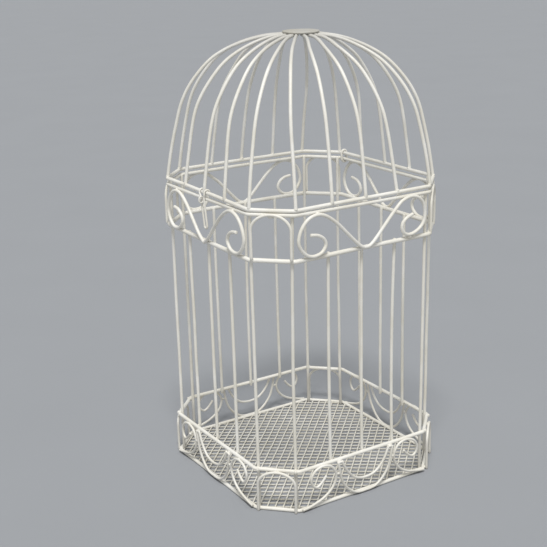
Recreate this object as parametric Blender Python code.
"""Wedding card box in the form of a white wire birdcage with a hinged dome lid.

The cage is of round steel wire. Its plan is a square with cut corners: four long sides and four short
corner sides. Four wire rings tie the body together, a fifth ring carries the dome, and every upright,
rib, scroll and arch is its own bent wire. The dome swings on two wire links and is held shut by a wire
hasp that drops over an eye.

Frame: metres, +Z up, origin on the cage's axis at floor level. The hinge side faces +X, the hasp
side -X. In the names, "front" is the corner at -X -Y and "right" the one at +X -Y.
"""

import math
from collections import namedtuple

import bmesh
import bpy
from mathutils import Matrix, Vector

# ---------------------------------------------------------------- driving dimensions
HALF = 0.1016          # half width across the long sides, to the ring wire's centre (8 in across)
CUT = 0.283 * HALF     # how much each corner is cut back, along both long sides
CORNER_R = 0.005       # bend radius of the ring wire at its corners

# wire radii
RING_R = 0.00165
POST_R = 0.0015
BAR_R = 0.0015
RIB_R = 0.0015
UPPER_R = 0.0015       # the upper scrolls are of heavier wire than the arches and lower ornament
SCROLL_R = 0.0013
HINGE_R = 0.0011
HASP_R = 0.0009
KEEPER_R = 0.0008

GAP = 0.0003           # clearance left between neighbouring wires
EYE_GAP = 0.0002       # closer fit of the hasp's eyes, which turn clear of the ring below

# heights of the ring centres
Z_BOTTOM = RING_R
Z_BASE = Z_BOTTOM + 0.387 * HALF
Z_BAND = Z_BOTTOM + 2.332 * HALF
Z_TOP = Z_BOTTOM + 2.718 * HALF
Z_LID = Z_BOTTOM + 2.775 * HALF
Z_CROWN = Z_BOTTOM + 4.078 * HALF      # rib centreline under the hub

FLOOR_T = 0.0024

RIB_U = (-0.36, 0.0, 0.36)             # bars and ribs along a long side, in units of HALF
CORNER_U = (-0.178, 0.178)             # posts and ribs along a corner side, in units of HALF

POST_FOOT = FLOOR_T + 0.0004           # posts stand just above the floor panel
POST_HEAD = Z_TOP + 0.0014
BAR_FOOT = Z_BASE - 0.0030             # bars run a little past the rings at both ends
BAR_HEAD = Z_BAND + 0.0015

# ---------------------------------------------------------------- the eight faces of the plan
# name, outward normal, distance from the cage's axis to the ring's centreline
Face = namedtuple("Face", "name normal distance")

DIAGONAL = math.sqrt(0.5)
CORNER_DISTANCE = (2 * HALF - CUT) * DIAGONAL

# both lists run counter-clockwise seen from above, each corner before the side of the same index
SIDES = (
    Face("front_right", (0.0, -1.0), HALF),
    Face("back_right", (1.0, 0.0), HALF),
    Face("back_left", (0.0, 1.0), HALF),
    Face("front_left", (-1.0, 0.0), HALF),
)
CORNERS = (
    Face("front", (-DIAGONAL, -DIAGONAL), CORNER_DISTANCE),
    Face("right", (DIAGONAL, -DIAGONAL), CORNER_DISTANCE),
    Face("back", (DIAGONAL, DIAGONAL), CORNER_DISTANCE),
    Face("left", (-DIAGONAL, DIAGONAL), CORNER_DISTANCE),
)


def on_face(face, along, out, z):
    """A point on a face: along it counter-clockwise, out beyond the ring's centreline, height z."""
    x_normal, y_normal = face.normal
    return (
        x_normal * (face.distance + out) - y_normal * along,
        y_normal * (face.distance + out) + x_normal * along,
        z,
    )


# ---------------------------------------------------------------- centreline helpers
def smooth(points, steps):
    """Catmull-Rom curve through the points, with steps samples to each span."""
    first = tuple(2 * a - b for a, b in zip(points[0], points[1]))
    last = tuple(2 * a - b for a, b in zip(points[-1], points[-2]))
    padded = [first, *points, last]
    path = []
    for i in range(len(points) - 1):
        for j in range(steps):
            t = j / steps
            path.append(tuple(
                0.5
                * (
                    2 * start
                    + (end - before) * t
                    + (2 * before - 5 * start + 4 * end - after) * t * t
                    + (3 * start - before - 3 * end + after) * t ** 3
                )
                for before, start, end, after in zip(*padded[i:i + 4])
            ))
    path.append(tuple(points[-1]))
    return path


def simplify(points, tolerance):
    """Drops points from the path wherever a straight run stays within tolerance of it."""
    keep = {0, len(points) - 1}
    spans = [(0, len(points) - 1)]
    while spans:
        first, last = spans.pop()
        start = Vector(points[first])
        run = Vector(points[last]) - start
        worst, farthest = tolerance, None
        for i in range(first + 1, last):
            offset = Vector(points[i]) - start
            fraction = max(0.0, min(1.0, offset.dot(run) / run.length_squared))
            distance = (offset - run * fraction).length
            if distance > worst:
                worst, farthest = distance, i
        if farthest is not None:
            keep.add(farthest)
            spans += [(first, farthest), (farthest, last)]
    return [points[i] for i in sorted(keep)]


def octagon(inset, z, steps, radius):
    """Closed outline: the cut-corner square, moved in by inset, its corners bent to a radius."""
    wide = HALF - inset
    short = HALF - CUT - inset * (math.sqrt(2) - 1)
    corners = (
        (-short, -wide), (short, -wide), (wide, -short), (wide, short),
        (short, wide), (-short, wide), (-wide, short), (-wide, -short),
    )
    turn = math.radians(45)
    setback = radius / math.cos(turn / 2)      # from the sharp corner to the bend's centre
    points = []
    for i, (x, y) in enumerate(corners):
        start = math.radians(225) + turn * i
        x_centre = x - setback * math.cos(start + turn / 2)
        y_centre = y - setback * math.sin(start + turn / 2)
        for j in range(steps + 1):
            angle = start + turn * j / steps
            points.append(
                (x_centre + radius * math.cos(angle), y_centre + radius * math.sin(angle), z)
            )
    return points


def mirrored(points):
    """A half shape and its mirror image, joined in the middle."""
    return [(-u, height) for u, height in points[::-1]] + list(points[1:])


# ---------------------------------------------------------------- scene helpers
for old in list(bpy.data.objects):
    bpy.data.objects.remove(old, do_unlink=True)

card_box = bpy.data.collections.new("wedding_card_box")
bpy.context.scene.collection.children.link(card_box)

# an empty on a joint's axis, and where it stands in the world
Joint = namedtuple("Joint", "empty point")


def make_joint(name, point, parent=None):
    empty = bpy.data.objects.new(name, None)
    empty.empty_display_size = 0.02
    card_box.objects.link(empty)
    empty.location = point
    if parent:
        empty.parent = parent.empty
        empty.location = Vector(point) - parent.empty.location
    return Joint(empty, point)


def add_object(name, data, mat, joint):
    """Adds a piece, carried by the joint if there is one, its origin staying at the world's."""
    data.materials.clear()
    data.materials.append(mat)
    obj = bpy.data.objects.new(name, data)
    card_box.objects.link(obj)
    if joint:
        obj.parent = joint.empty
        obj.matrix_parent_inverse = Matrix.Translation(joint.point).inverted()
    return obj


def wire(name, points, radius, mat, sides=6, closed=False, joint=None):
    """Round wire along a centreline."""
    curve = bpy.data.curves.new(name, "CURVE")
    curve.dimensions = "3D"
    curve.bevel_depth = radius
    curve.bevel_resolution = (sides - 4) // 2
    curve.use_fill_caps = not closed
    spline = curve.splines.new("POLY")
    spline.points.add(len(points) - 1)
    for target, point in zip(spline.points, points):
        target.co = (*point, 1.0)
    spline.use_cyclic_u = closed
    return add_object(name, curve, mat, joint)


def evaluated_mesh(obj):
    bpy.context.view_layer.update()
    depsgraph = bpy.context.evaluated_depsgraph_get()
    return bpy.data.meshes.new_from_object(obj.evaluated_get(depsgraph))


def merge_close(mesh, distance, fix_normals=False):
    build = bmesh.new()
    build.from_mesh(mesh)
    bmesh.ops.remove_doubles(build, verts=build.verts, dist=distance)
    if fix_normals:
        bmesh.ops.recalc_face_normals(build, faces=build.faces)
    build.to_mesh(mesh)
    build.free()


def wire_to_mesh(obj):
    """Turns a wire into a closed mesh, its cap rims joined."""
    mesh = evaluated_mesh(obj)
    curve = obj.data
    bpy.data.objects.remove(obj, do_unlink=True)
    bpy.data.curves.remove(curve)
    merge_close(mesh, 0.00005, fix_normals=True)
    return mesh


def union(name, meshes):
    """One closed body out of several that run into each other."""
    target = bpy.data.objects.new(name, meshes[0])
    bpy.context.scene.collection.objects.link(target)
    for i, mesh in enumerate(meshes[1:]):
        tool = bpy.data.objects.new(f"{name}_join_{i}", mesh)
        bpy.context.scene.collection.objects.link(tool)
        join = target.modifiers.new("join", "BOOLEAN")
        join.operation = "UNION"
        join.solver = "EXACT"
        join.object = tool
        joined = evaluated_mesh(target)
        target.modifiers.clear()
        target.data = joined
        bpy.data.objects.remove(tool, do_unlink=True)
    result = target.data
    bpy.data.objects.remove(target, do_unlink=True)
    merge_close(result, 0.00003)
    return result


def join_rims(build, lower, upper):
    """A band of quads between two rims of equal count."""
    for k in range(len(lower)):
        following = (k + 1) % len(lower)
        build.faces.new((lower[k], lower[following], upper[following], upper[k]))


def finish_mesh(build, name):
    bmesh.ops.recalc_face_normals(build, faces=build.faces)
    mesh = bpy.data.meshes.new(name)
    build.to_mesh(mesh)
    build.free()
    return mesh


def material(name, colour, roughness):
    """White or off-white paint."""
    mat = bpy.data.materials.new(name)
    mat.use_nodes = True
    shader = mat.node_tree.nodes["Principled BSDF"]
    shader.inputs["Base Color"].default_value = (*colour, 1.0)
    shader.inputs["Roughness"].default_value = roughness
    shader.inputs["Metallic"].default_value = 0.0
    return mat


RING = material("ring_wire", colour=(0.87, 0.85, 0.79), roughness=0.38)
UPRIGHT = material("upright_wire", colour=(0.86, 0.84, 0.78), roughness=0.40)
DOME_WIRE = material("dome_wire", colour=(0.88, 0.86, 0.80), roughness=0.38)
SCROLL = material("scroll_wire", colour=(0.87, 0.85, 0.79), roughness=0.42)
ARCH = material("arch_wire", colour=(0.86, 0.84, 0.79), roughness=0.42)
PLATE = material("hub_plate", colour=(0.88, 0.86, 0.81), roughness=0.36)
MESH = material("floor_mesh", colour=(0.78, 0.76, 0.70), roughness=0.50)
LATCH = material("latch_wire", colour=(0.85, 0.83, 0.77), roughness=0.40)

# ---------------------------------------------------------------- joints
HASP_Y = 0.0008

LID_JOINT = make_joint("lid_axis", (HALF, 0.0, Z_TOP))
HASP_JOINT = make_joint("hasp_axis", (-HALF, HASP_Y, Z_LID), LID_JOINT)


# ---------------------------------------------------------------- rings and uprights
def build_rings():
    for name, z, joint in (
        ("base_bottom_ring", Z_BOTTOM, None),
        ("base_upper_ring", Z_BASE, None),
        ("band_lower_ring", Z_BAND, None),
        ("body_top_ring", Z_TOP, None),
        ("lid_ring", Z_LID, LID_JOINT),
    ):
        outline = octagon(0, z, steps=3, radius=CORNER_R)
        wire(name, outline, RING_R, RING, sides=8, closed=True, joint=joint)


def build_upright(name, face, along, foot, head, radius):
    """A straight wire against the inside of the rings."""
    out = -(RING_R + radius + GAP)
    ends = [on_face(face, along, out, z) for z in (foot, head)]
    wire(name, ends, radius, UPRIGHT, sides=8)


def build_uprights():
    """Posts the full height of the body at the corners, bars between the two middle rings."""
    for corner in CORNERS:
        for tag, u in zip("ab", CORNER_U):
            name = f"post_{corner.name}_{tag}"
            build_upright(name, corner, u * HALF, POST_FOOT, POST_HEAD, POST_R)
    for side in SIDES:
        for tag, u in zip("abc", RIB_U):
            name = f"bar_{side.name}_{tag}"
            build_upright(name, side, u * HALF, BAR_FOOT, BAR_HEAD, BAR_R)


# ---------------------------------------------------------------- dome ribs
RIB_END_R = 0.0150       # radius at which the ribs turn under the hub
RIB_TOLERANCE = 0.00022

# The dome's outline: distance out at the middle of a long side, distance out at a corner (both 1 at
# the ring, 0 where the ribs turn), height (0 at the ring, 1 at the hub).
DOME = (
    (1.0, 1.0, 0.0), (0.963, 0.962, 0.20), (0.919, 0.915, 0.38), (0.854, 0.862, 0.54),
    (0.745, 0.775, 0.68), (0.595, 0.635, 0.815), (0.440, 0.490, 0.897), (0.280, 0.325, 0.954),
    (0.130, 0.155, 0.989), (0.0, 0.0, 1.0),
)
# The turn under the hub: distance in from RIB_END_R, share of the angle between the two ribs.
RIB_TURN = ((0.0013, 0.12), (0.0019, 0.5), (0.0013, 0.88))


def rib(foot):
    """One rib's centreline, from the top of the lid ring to the turn under the hub."""
    x_foot, y_foot = foot
    foot_radius = math.hypot(x_foot, y_foot)
    corner_radius = math.hypot(CORNER_DISTANCE, CORNER_U[1] * HALF)
    corner_share = (foot_radius - HALF) / (corner_radius - HALF)
    z_foot = Z_LID + RING_R + GAP
    path = []
    for side_out, corner_out, rise in smooth(DOME, 4):
        out = side_out + (corner_out - side_out) * corner_share
        radius = RIB_END_R + (foot_radius - RIB_END_R) * out
        path.append((
            x_foot / foot_radius * radius,
            y_foot / foot_radius * radius,
            z_foot + (Z_CROWN - z_foot) * rise,
        ))
    return path


def rib_pair(foot_up, foot_down):
    """Two neighbouring ribs bent from one wire, which turns back on itself under the hub."""
    start = math.atan2(foot_up[1], foot_up[0])
    end = math.atan2(foot_down[1], foot_down[0])
    if end < start:
        end += 2 * math.pi
    turn = []
    for inward, share in RIB_TURN:
        radius = RIB_END_R - inward
        angle = start + (end - start) * share
        turn.append((radius * math.cos(angle), radius * math.sin(angle), Z_CROWN))
    up = simplify(rib(foot_up), RIB_TOLERANCE)
    down = simplify(rib(foot_down)[::-1], RIB_TOLERANCE)
    return up + turn + down


def build_ribs():
    feet = []      # in order round the ring
    for corner, side in zip(CORNERS, SIDES):
        for face, places in ((corner, CORNER_U), (side, RIB_U)):
            feet += [on_face(face, u * HALF, 0, 0)[:2] for u in places]
    for number, (foot_up, foot_down) in enumerate(zip(feet[::2], feet[1::2]), 1):
        path = rib_pair(foot_up, foot_down)
        wire(f"dome_rib_pair_{number:02d}", path, RIB_R, DOME_WIRE, joint=LID_JOINT)


# ---------------------------------------------------------------- hub
HUB_R = 0.0170
HUB_T = 0.0022
HUB_COUNT = 32
HUB_CROWN = HUB_T + 0.0010      # height of the middle of its top

# The hub's section between its two centre points: radius, height above its underside.
HUB_PROFILE = (
    (HUB_R - 0.0006, 0.0), (HUB_R, 0.0006), (HUB_R - 0.0003, 0.0013), (HUB_R - 0.0014, 0.0019),
    (HUB_R * 0.55, HUB_T + 0.0006),
)


def build_hub():
    """A pressed disc over the turned rib ends, its edge rounded down."""
    build = bmesh.new()
    z_under = Z_CROWN + RIB_R + GAP
    rims = []
    for radius, height in HUB_PROFILE:
        rim = []
        for k in range(HUB_COUNT):
            angle = 2 * math.pi * k / HUB_COUNT
            place = (radius * math.cos(angle), radius * math.sin(angle), z_under + height)
            rim.append(build.verts.new(place))
        rims.append(rim)
    for lower, upper in zip(rims, rims[1:]):
        join_rims(build, lower, upper)
    under_centre = build.verts.new((0, 0, z_under))
    top_centre = build.verts.new((0, 0, z_under + HUB_CROWN))
    for k in range(HUB_COUNT):
        following = (k + 1) % HUB_COUNT
        build.faces.new((under_centre, rims[0][following], rims[0][k]))
        build.faces.new((rims[-1][k], rims[-1][following], top_centre))
    add_object("hub", finish_mesh(build, "hub"), PLATE, LID_JOINT)


# ---------------------------------------------------------------- scrolls and arches
# Outlines on a long side: distance from its middle, height above the bottom ring's centre, both in
# units of HALF. The upper scroll and the two arcs are halves.

# From the middle of the band it rises, rolls over under the top ring and curls in on itself.
UPPER_SCROLL = (
    (0.0, 2.342), (0.045, 2.355), (0.10, 2.40), (0.20, 2.502), (0.30, 2.602), (0.41, 2.680),
    (0.50, 2.703), (0.595, 2.675), (0.665, 2.600), (0.698, 2.500), (0.672, 2.420), (0.610, 2.364),
    (0.535, 2.350), (0.460, 2.372), (0.415, 2.430), (0.430, 2.490), (0.490, 2.532), (0.570, 2.545),
)
OUTER_ARC = (
    (0.0, 0.006), (0.06, 0.008), (0.12, 0.024), (0.193, 0.078), (0.255, 0.165), (0.287, 0.265),
    (0.308, 0.372),
)
INNER_ARC = (
    (0.0, 0.153), (0.06, 0.159), (0.12, 0.180), (0.175, 0.225), (0.222, 0.288), (0.265, 0.375),
)
LOWER_SCROLL = (
    (0.700, 0.006), (0.640, 0.014), (0.560, 0.035), (0.480, 0.062), (0.405, 0.110), (0.350, 0.180),
    (0.336, 0.265), (0.385, 0.345), (0.470, 0.374), (0.555, 0.352), (0.600, 0.290), (0.590, 0.225),
    (0.545, 0.190), (0.490, 0.215), (0.435, 0.275),
)
# The same two columns, then the weld's radius in metres: arc to arc, arc to C scroll.
WELDS = ((0.284, 0.357, 0.0023), (0.311, 0.262, 0.0026))

ARCH_HALF = 0.172 * HALF      # half width
ARCH_STEPS = 8
# level, height of the feet, of the foot of the round head, and of its peak
ARCHES = (
    ("upper", Z_BAND + 0.0015, Z_BOTTOM + 2.585 * HALF, Z_BOTTOM + 2.728 * HALF),
    ("lower", 0.0005, Z_BOTTOM + 0.245 * HALF, Z_BOTTOM + 0.372 * HALF),
)


def ornament_point(side, u, height, radius):
    """A point of wire of the given radius lying against the outside of a side's rings."""
    return on_face(side, u * HALF, RING_R + GAP + radius, Z_BOTTOM + height * HALF)


def side_wire(name, side, points, radius):
    """A flat wire bent to the given outline, outside a long side's rings."""
    path = [ornament_point(side, u, height, radius) for u, height in smooth(points, 6)]
    return wire(name, simplify(path, 0.00016), radius, SCROLL)


def build_upper_scrolls():
    for side in SIDES:
        side_wire(f"upper_scroll_{side.name}", side, mirrored(UPPER_SCROLL), UPPER_R)


def arch(face, z_foot, z_spring, z_peak):
    """A round-headed arch outside a corner side: two straight legs and an elliptical head."""
    points = [(-ARCH_HALF, z_foot)]
    for i in range(ARCH_STEPS + 1):
        angle = math.pi * (1 - i / ARCH_STEPS)
        z = z_spring + (z_peak - z_spring) * math.sin(angle)
        points.append((ARCH_HALF * math.cos(angle), z))
    points.append((ARCH_HALF, z_foot))
    return [on_face(face, along, RING_R + SCROLL_R + GAP, z) for along, z in points]


def build_arches():
    for corner in CORNERS:
        for level, *heights in ARCHES:
            wire(f"{level}_arch_{corner.name}", arch(corner, *heights), SCROLL_R, ARCH)


def weld_blob(centre, radius):
    mesh = bpy.data.meshes.new("weld")
    build = bmesh.new()
    place = Matrix.Translation(centre)
    bmesh.ops.create_icosphere(build, subdivisions=2, radius=radius, matrix=place)
    build.to_mesh(mesh)
    build.free()
    return mesh


def build_lower_ornaments():
    """Two U arcs and two C scrolls welded into one piece, the same on every side."""
    first_side = SIDES[0]

    def part(name, points):
        return wire_to_mesh(side_wire(name, first_side, points, SCROLL_R))

    parts = [part("outer_arc", mirrored(OUTER_ARC)), part("inner_arc", mirrored(INNER_ARC))]
    for sign in (-1, 1):
        parts.append(part("c_scroll", [(sign * u, height) for u, height in LOWER_SCROLL]))
        for u, height, radius in WELDS:
            centre = ornament_point(first_side, sign * u, height, SCROLL_R)
            parts.append(weld_blob(centre, radius))
    ornament = union("lower_ornament", parts)
    for i, side in enumerate(SIDES):
        mesh = ornament.copy()
        mesh.transform(Matrix.Rotation(math.radians(90 * i), 4, "Z"))
        add_object(f"lower_ornament_{side.name}", mesh, SCROLL, None)
    bpy.data.meshes.remove(ornament)


# ---------------------------------------------------------------- floor
def build_floor():
    """The woven mesh as one flat panel, resting on the table inside the bottom ring."""
    inset = RING_R + GAP
    outline = octagon(inset, 0.0, steps=2, radius=CORNER_R - inset)
    build = bmesh.new()
    under = [build.verts.new((x, y, 0.0)) for x, y, _ in outline]
    over = [build.verts.new((x, y, FLOOR_T)) for x, y, _ in outline]
    build.faces.new(under[::-1])
    build.faces.new(over)
    join_rims(build, under, over)
    add_object("floor_mesh_panel", finish_mesh(build, "floor_mesh_panel"), MESH, None)


# ---------------------------------------------------------------- hinge links
LINK_Y = 0.67 * HALF      # either side of the middle of the +X side
LINK_STEPS = 8            # in each half turn


def build_hinge_links():
    """Closed wire loops in the XZ plane round the top ring and the lid ring at x = HALF."""
    radius = RING_R + GAP + HINGE_R
    for tag, y in (("a", -LINK_Y), ("b", LINK_Y)):
        points = []
        for start, z in ((math.pi, Z_TOP), (0.0, Z_LID)):
            for i in range(LINK_STEPS + 1):
                angle = start + math.pi * i / LINK_STEPS
                x = HALF + radius * math.cos(angle)
                points.append((x, y, z + radius * math.sin(angle)))
        wire(f"hinge_link_{tag}", points, HINGE_R, LATCH, closed=True, joint=LID_JOINT)


# ---------------------------------------------------------------- hasp and keeper
HASP_EYE_R = RING_R + EYE_GAP + HASP_R
HASP_EYE_HALF = 0.0042      # the eyes, either side of the hasp's middle
HASP_LEG_HALF = 0.0026      # the legs, below the eyes
HASP_NECK = 0.0045          # the legs draw together over this height
HASP_DROP = 0.0296          # from the eyes' axis to the foot of the legs
HASP_SLOPE = math.tan(math.radians(10))      # the legs lean outward going down
HASP_EYE_STEPS = 12
HASP_NECK_STEPS = 3
HASP_BEND_STEPS = 6

KEEPER_LOOP_R = 0.0029
KEEPER_Y = -0.0004          # the leaning legs pass it evenly on both sides
KEEPER_Z = Z_TOP - 0.0006
KEEPER_STEPS = 14


def hasp_eye(sign):
    """From under the lid ring's inner side, over its top, to its outside."""
    points = []
    for i in range(HASP_EYE_STEPS + 1):
        angle = math.radians(-45 + 225 * i / HASP_EYE_STEPS)
        points.append((
            -HALF + HASP_EYE_R * math.cos(angle),
            HASP_Y + sign * HASP_EYE_HALF,
            Z_LID + HASP_EYE_R * math.sin(angle),
        ))
    return points


def hasp_leg(sign, down):
    """A point on a leg, the given distance below the eyes' axis."""
    share = max(0.0, 1 - down / HASP_NECK)
    ease = share * share * (3 - 2 * share)
    spread = HASP_LEG_HALF + (HASP_EYE_HALF - HASP_LEG_HALF) * ease
    y = HASP_Y + sign * spread - HASP_SLOPE * down
    return (-HALF - HASP_EYE_R, y, Z_LID - down)


def hasp_arm(sign):
    """One eye and the leg below it."""
    drops = [HASP_NECK * k / HASP_NECK_STEPS for k in range(1, HASP_NECK_STEPS + 1)]
    return hasp_eye(sign) + [hasp_leg(sign, down) for down in (*drops, HASP_DROP)]


def build_hasp():
    """One wire with an eye round the lid ring at each end and a long narrow loop between."""
    bend = []
    for i in range(1, HASP_BEND_STEPS):
        angle = math.pi * i / HASP_BEND_STEPS
        bend.append((
            -HALF - HASP_EYE_R,
            HASP_Y - HASP_SLOPE * HASP_DROP + HASP_LEG_HALF * math.cos(angle),
            Z_LID - HASP_DROP - HASP_LEG_HALF * math.sin(angle),
        ))
    path = hasp_arm(1) + bend + hasp_arm(-1)[::-1]
    wire("hasp", path, HASP_R, LATCH, joint=HASP_JOINT)


def build_keeper():
    """The eye in the XZ plane that stands out of the top ring between the hasp's legs."""
    x_centre = -HALF - RING_R - GAP - KEEPER_R - KEEPER_LOOP_R
    points = []
    for i in range(KEEPER_STEPS):
        angle = 2 * math.pi * i / KEEPER_STEPS
        x = x_centre + KEEPER_LOOP_R * math.cos(angle)
        points.append((x, KEEPER_Y, KEEPER_Z + KEEPER_LOOP_R * math.sin(angle)))
    wire("hasp_keeper", points, KEEPER_R, LATCH, closed=True)


build_rings()
build_uprights()
build_ribs()
build_hub()
build_upper_scrolls()
build_arches()
build_lower_ornaments()
build_floor()
build_hinge_links()
build_hasp()
build_keeper()
